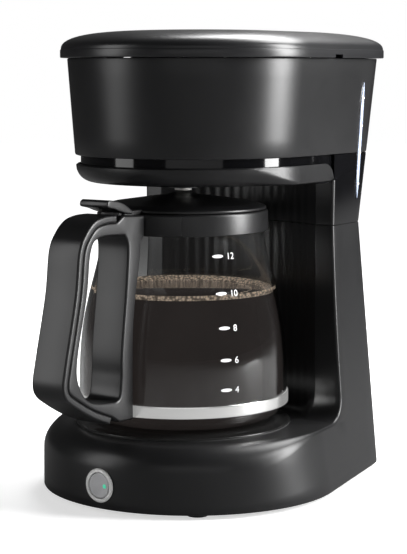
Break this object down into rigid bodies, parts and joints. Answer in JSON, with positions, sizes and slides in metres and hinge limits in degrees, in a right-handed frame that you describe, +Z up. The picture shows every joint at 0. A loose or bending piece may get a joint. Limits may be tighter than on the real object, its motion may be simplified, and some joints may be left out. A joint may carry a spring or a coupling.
{
  "type": "drip coffee maker",
  "caption": "Drip coffee maker with a hinged lid, lift-out brew basket, drip-stop valve, warming plate, push button and a glass carafe with a loop handle.",
  "frame": {"origin": "on the standing surface, under the carafe's axis, at the centre of the object's plan", "axes": "+Z up; -Y is the front, where the button and the carafe's handle are; +X is the side with the water window"},
  "size_m": [0.212, 0.296, 0.3249],
  "materials": {
    "satin_plastic": "satin, fine-grained black moulding",
    "gloss_plastic": "gloss black moulding",
    "lid_plastic": "semi-gloss black moulding",
    "handle_plastic": "smooth satin black",
    "inner_plastic": "dark grey moulding",
    "carafe_glass": "clear",
    "window_glass": "tinted clear strip",
    "steel": "bright steel",
    "element_alloy": "cast, dull",
    "hotplate_coat": "dark non-stick coat",
    "bezel_silver": "fine silver",
    "button_grey": "grey moulding",
    "lamp_green": "translucent green",
    "rubber": "black rubber",
    "silicone": "translucent grey silicone",
    "red_silicone": "red silicone",
    "white_nylon": "natural nylon"
  },
  "bodies": {
    "root": {"lower_body": "satin_plastic", "base_plate": "inner_plastic", "feet": "rubber", "base_screws": "steel", "warming_plate": "hotplate_coat", "plate_seal": "rubber", "heating_element": "element_alloy", "element_bracket": "steel", "bracket_stud": "steel", "thermostat": "white_nylon", "thermal_fuses": "white_nylon", "switch_body": "white_nylon", "button_bezel": "bezel_silver", "terminal_block": "white_nylon", "cord_gland": "rubber", "inlet_hoses": "silicone", "check_valve": "white_nylon", "riser_hose": "silicone", "riser_tube": "white_nylon", "outlet_gasket": "red_silicone", "hose_clamps": "steel", "arch_frame": "satin_plastic", "rear_panel": "gloss_plastic", "trim_band": "gloss_plastic", "upper_housing": "satin_plastic", "brew_chamber": "inner_plastic", "reservoir": "inner_plastic", "sight_window": "window_glass", "button_spring": "steel"},
    "button": {"power_button": "button_grey", "indicator_lens": "lamp_green"},
    "lid": {"lid_cover": "lid_plastic", "lid_liner": "inner_plastic", "lid_screws": "steel", "lid_hinge_pins": "steel", "shower_head": "white_nylon"},
    "basket": {"brew_basket": "inner_plastic"},
    "valve": {"valve_stem": "white_nylon", "valve_seal": "red_silicone", "valve_spring": "steel"},
    "carafe": {"carafe_glass": "carafe_glass", "carafe_collar": "handle_plastic", "carafe_strap": "steel", "handle_core": "handle_plastic", "handle_cover": "handle_plastic", "handle_screw": "steel", "carafe_hinge_pin": "steel"},
    "carafe_top": {"carafe_lid": "handle_plastic"}
  },
  "joints": [
    {"name": "lid_hinge", "type": "hinge", "parent": "root", "child": "lid", "pos_m": [0, 0.1375, 0.3009], "axis": [-1, 0, 0], "range_deg": [0, 95]},
    {"name": "basket_lift", "type": "slide", "parent": "root", "child": "basket", "axis": [0, 0, 1], "range_m": [0, 0.09]},
    {"name": "valve_drop", "type": "slide", "parent": "basket", "child": "valve", "axis": [0, 0, -1], "range_m": [0, 0.0035], "deforming": ["valve_spring"]},
    {"name": "power_press", "type": "slide", "parent": "root", "child": "button", "axis": [0, 1, 0], "range_m": [0, 0.0025], "stiffness_N_per_m": 500, "deforming": ["button_spring"]},
    {"name": "carafe_slide", "type": "slide", "parent": "root", "child": "carafe", "axis": [0, -1, 0], "range_m": [0, 0.26]},
    {"name": "carafe_lid_hinge", "type": "hinge", "parent": "carafe", "child": "carafe_top", "pos_m": [0, -0.08, 0.1969], "axis": [1, 0, 0], "range_deg": [0, 12]}
  ],
  "couplings": [
    {"joint": "basket_lift", "follows": "lid_hinge", "m_per_rad": 0.05422},
    {"joint": "valve_drop", "follows": "carafe_slide", "ratio": 0.013077},
    {"joint": "carafe_lid_hinge", "follows": "carafe_slide", "rad_per_m": 0.80218}
  ]
}
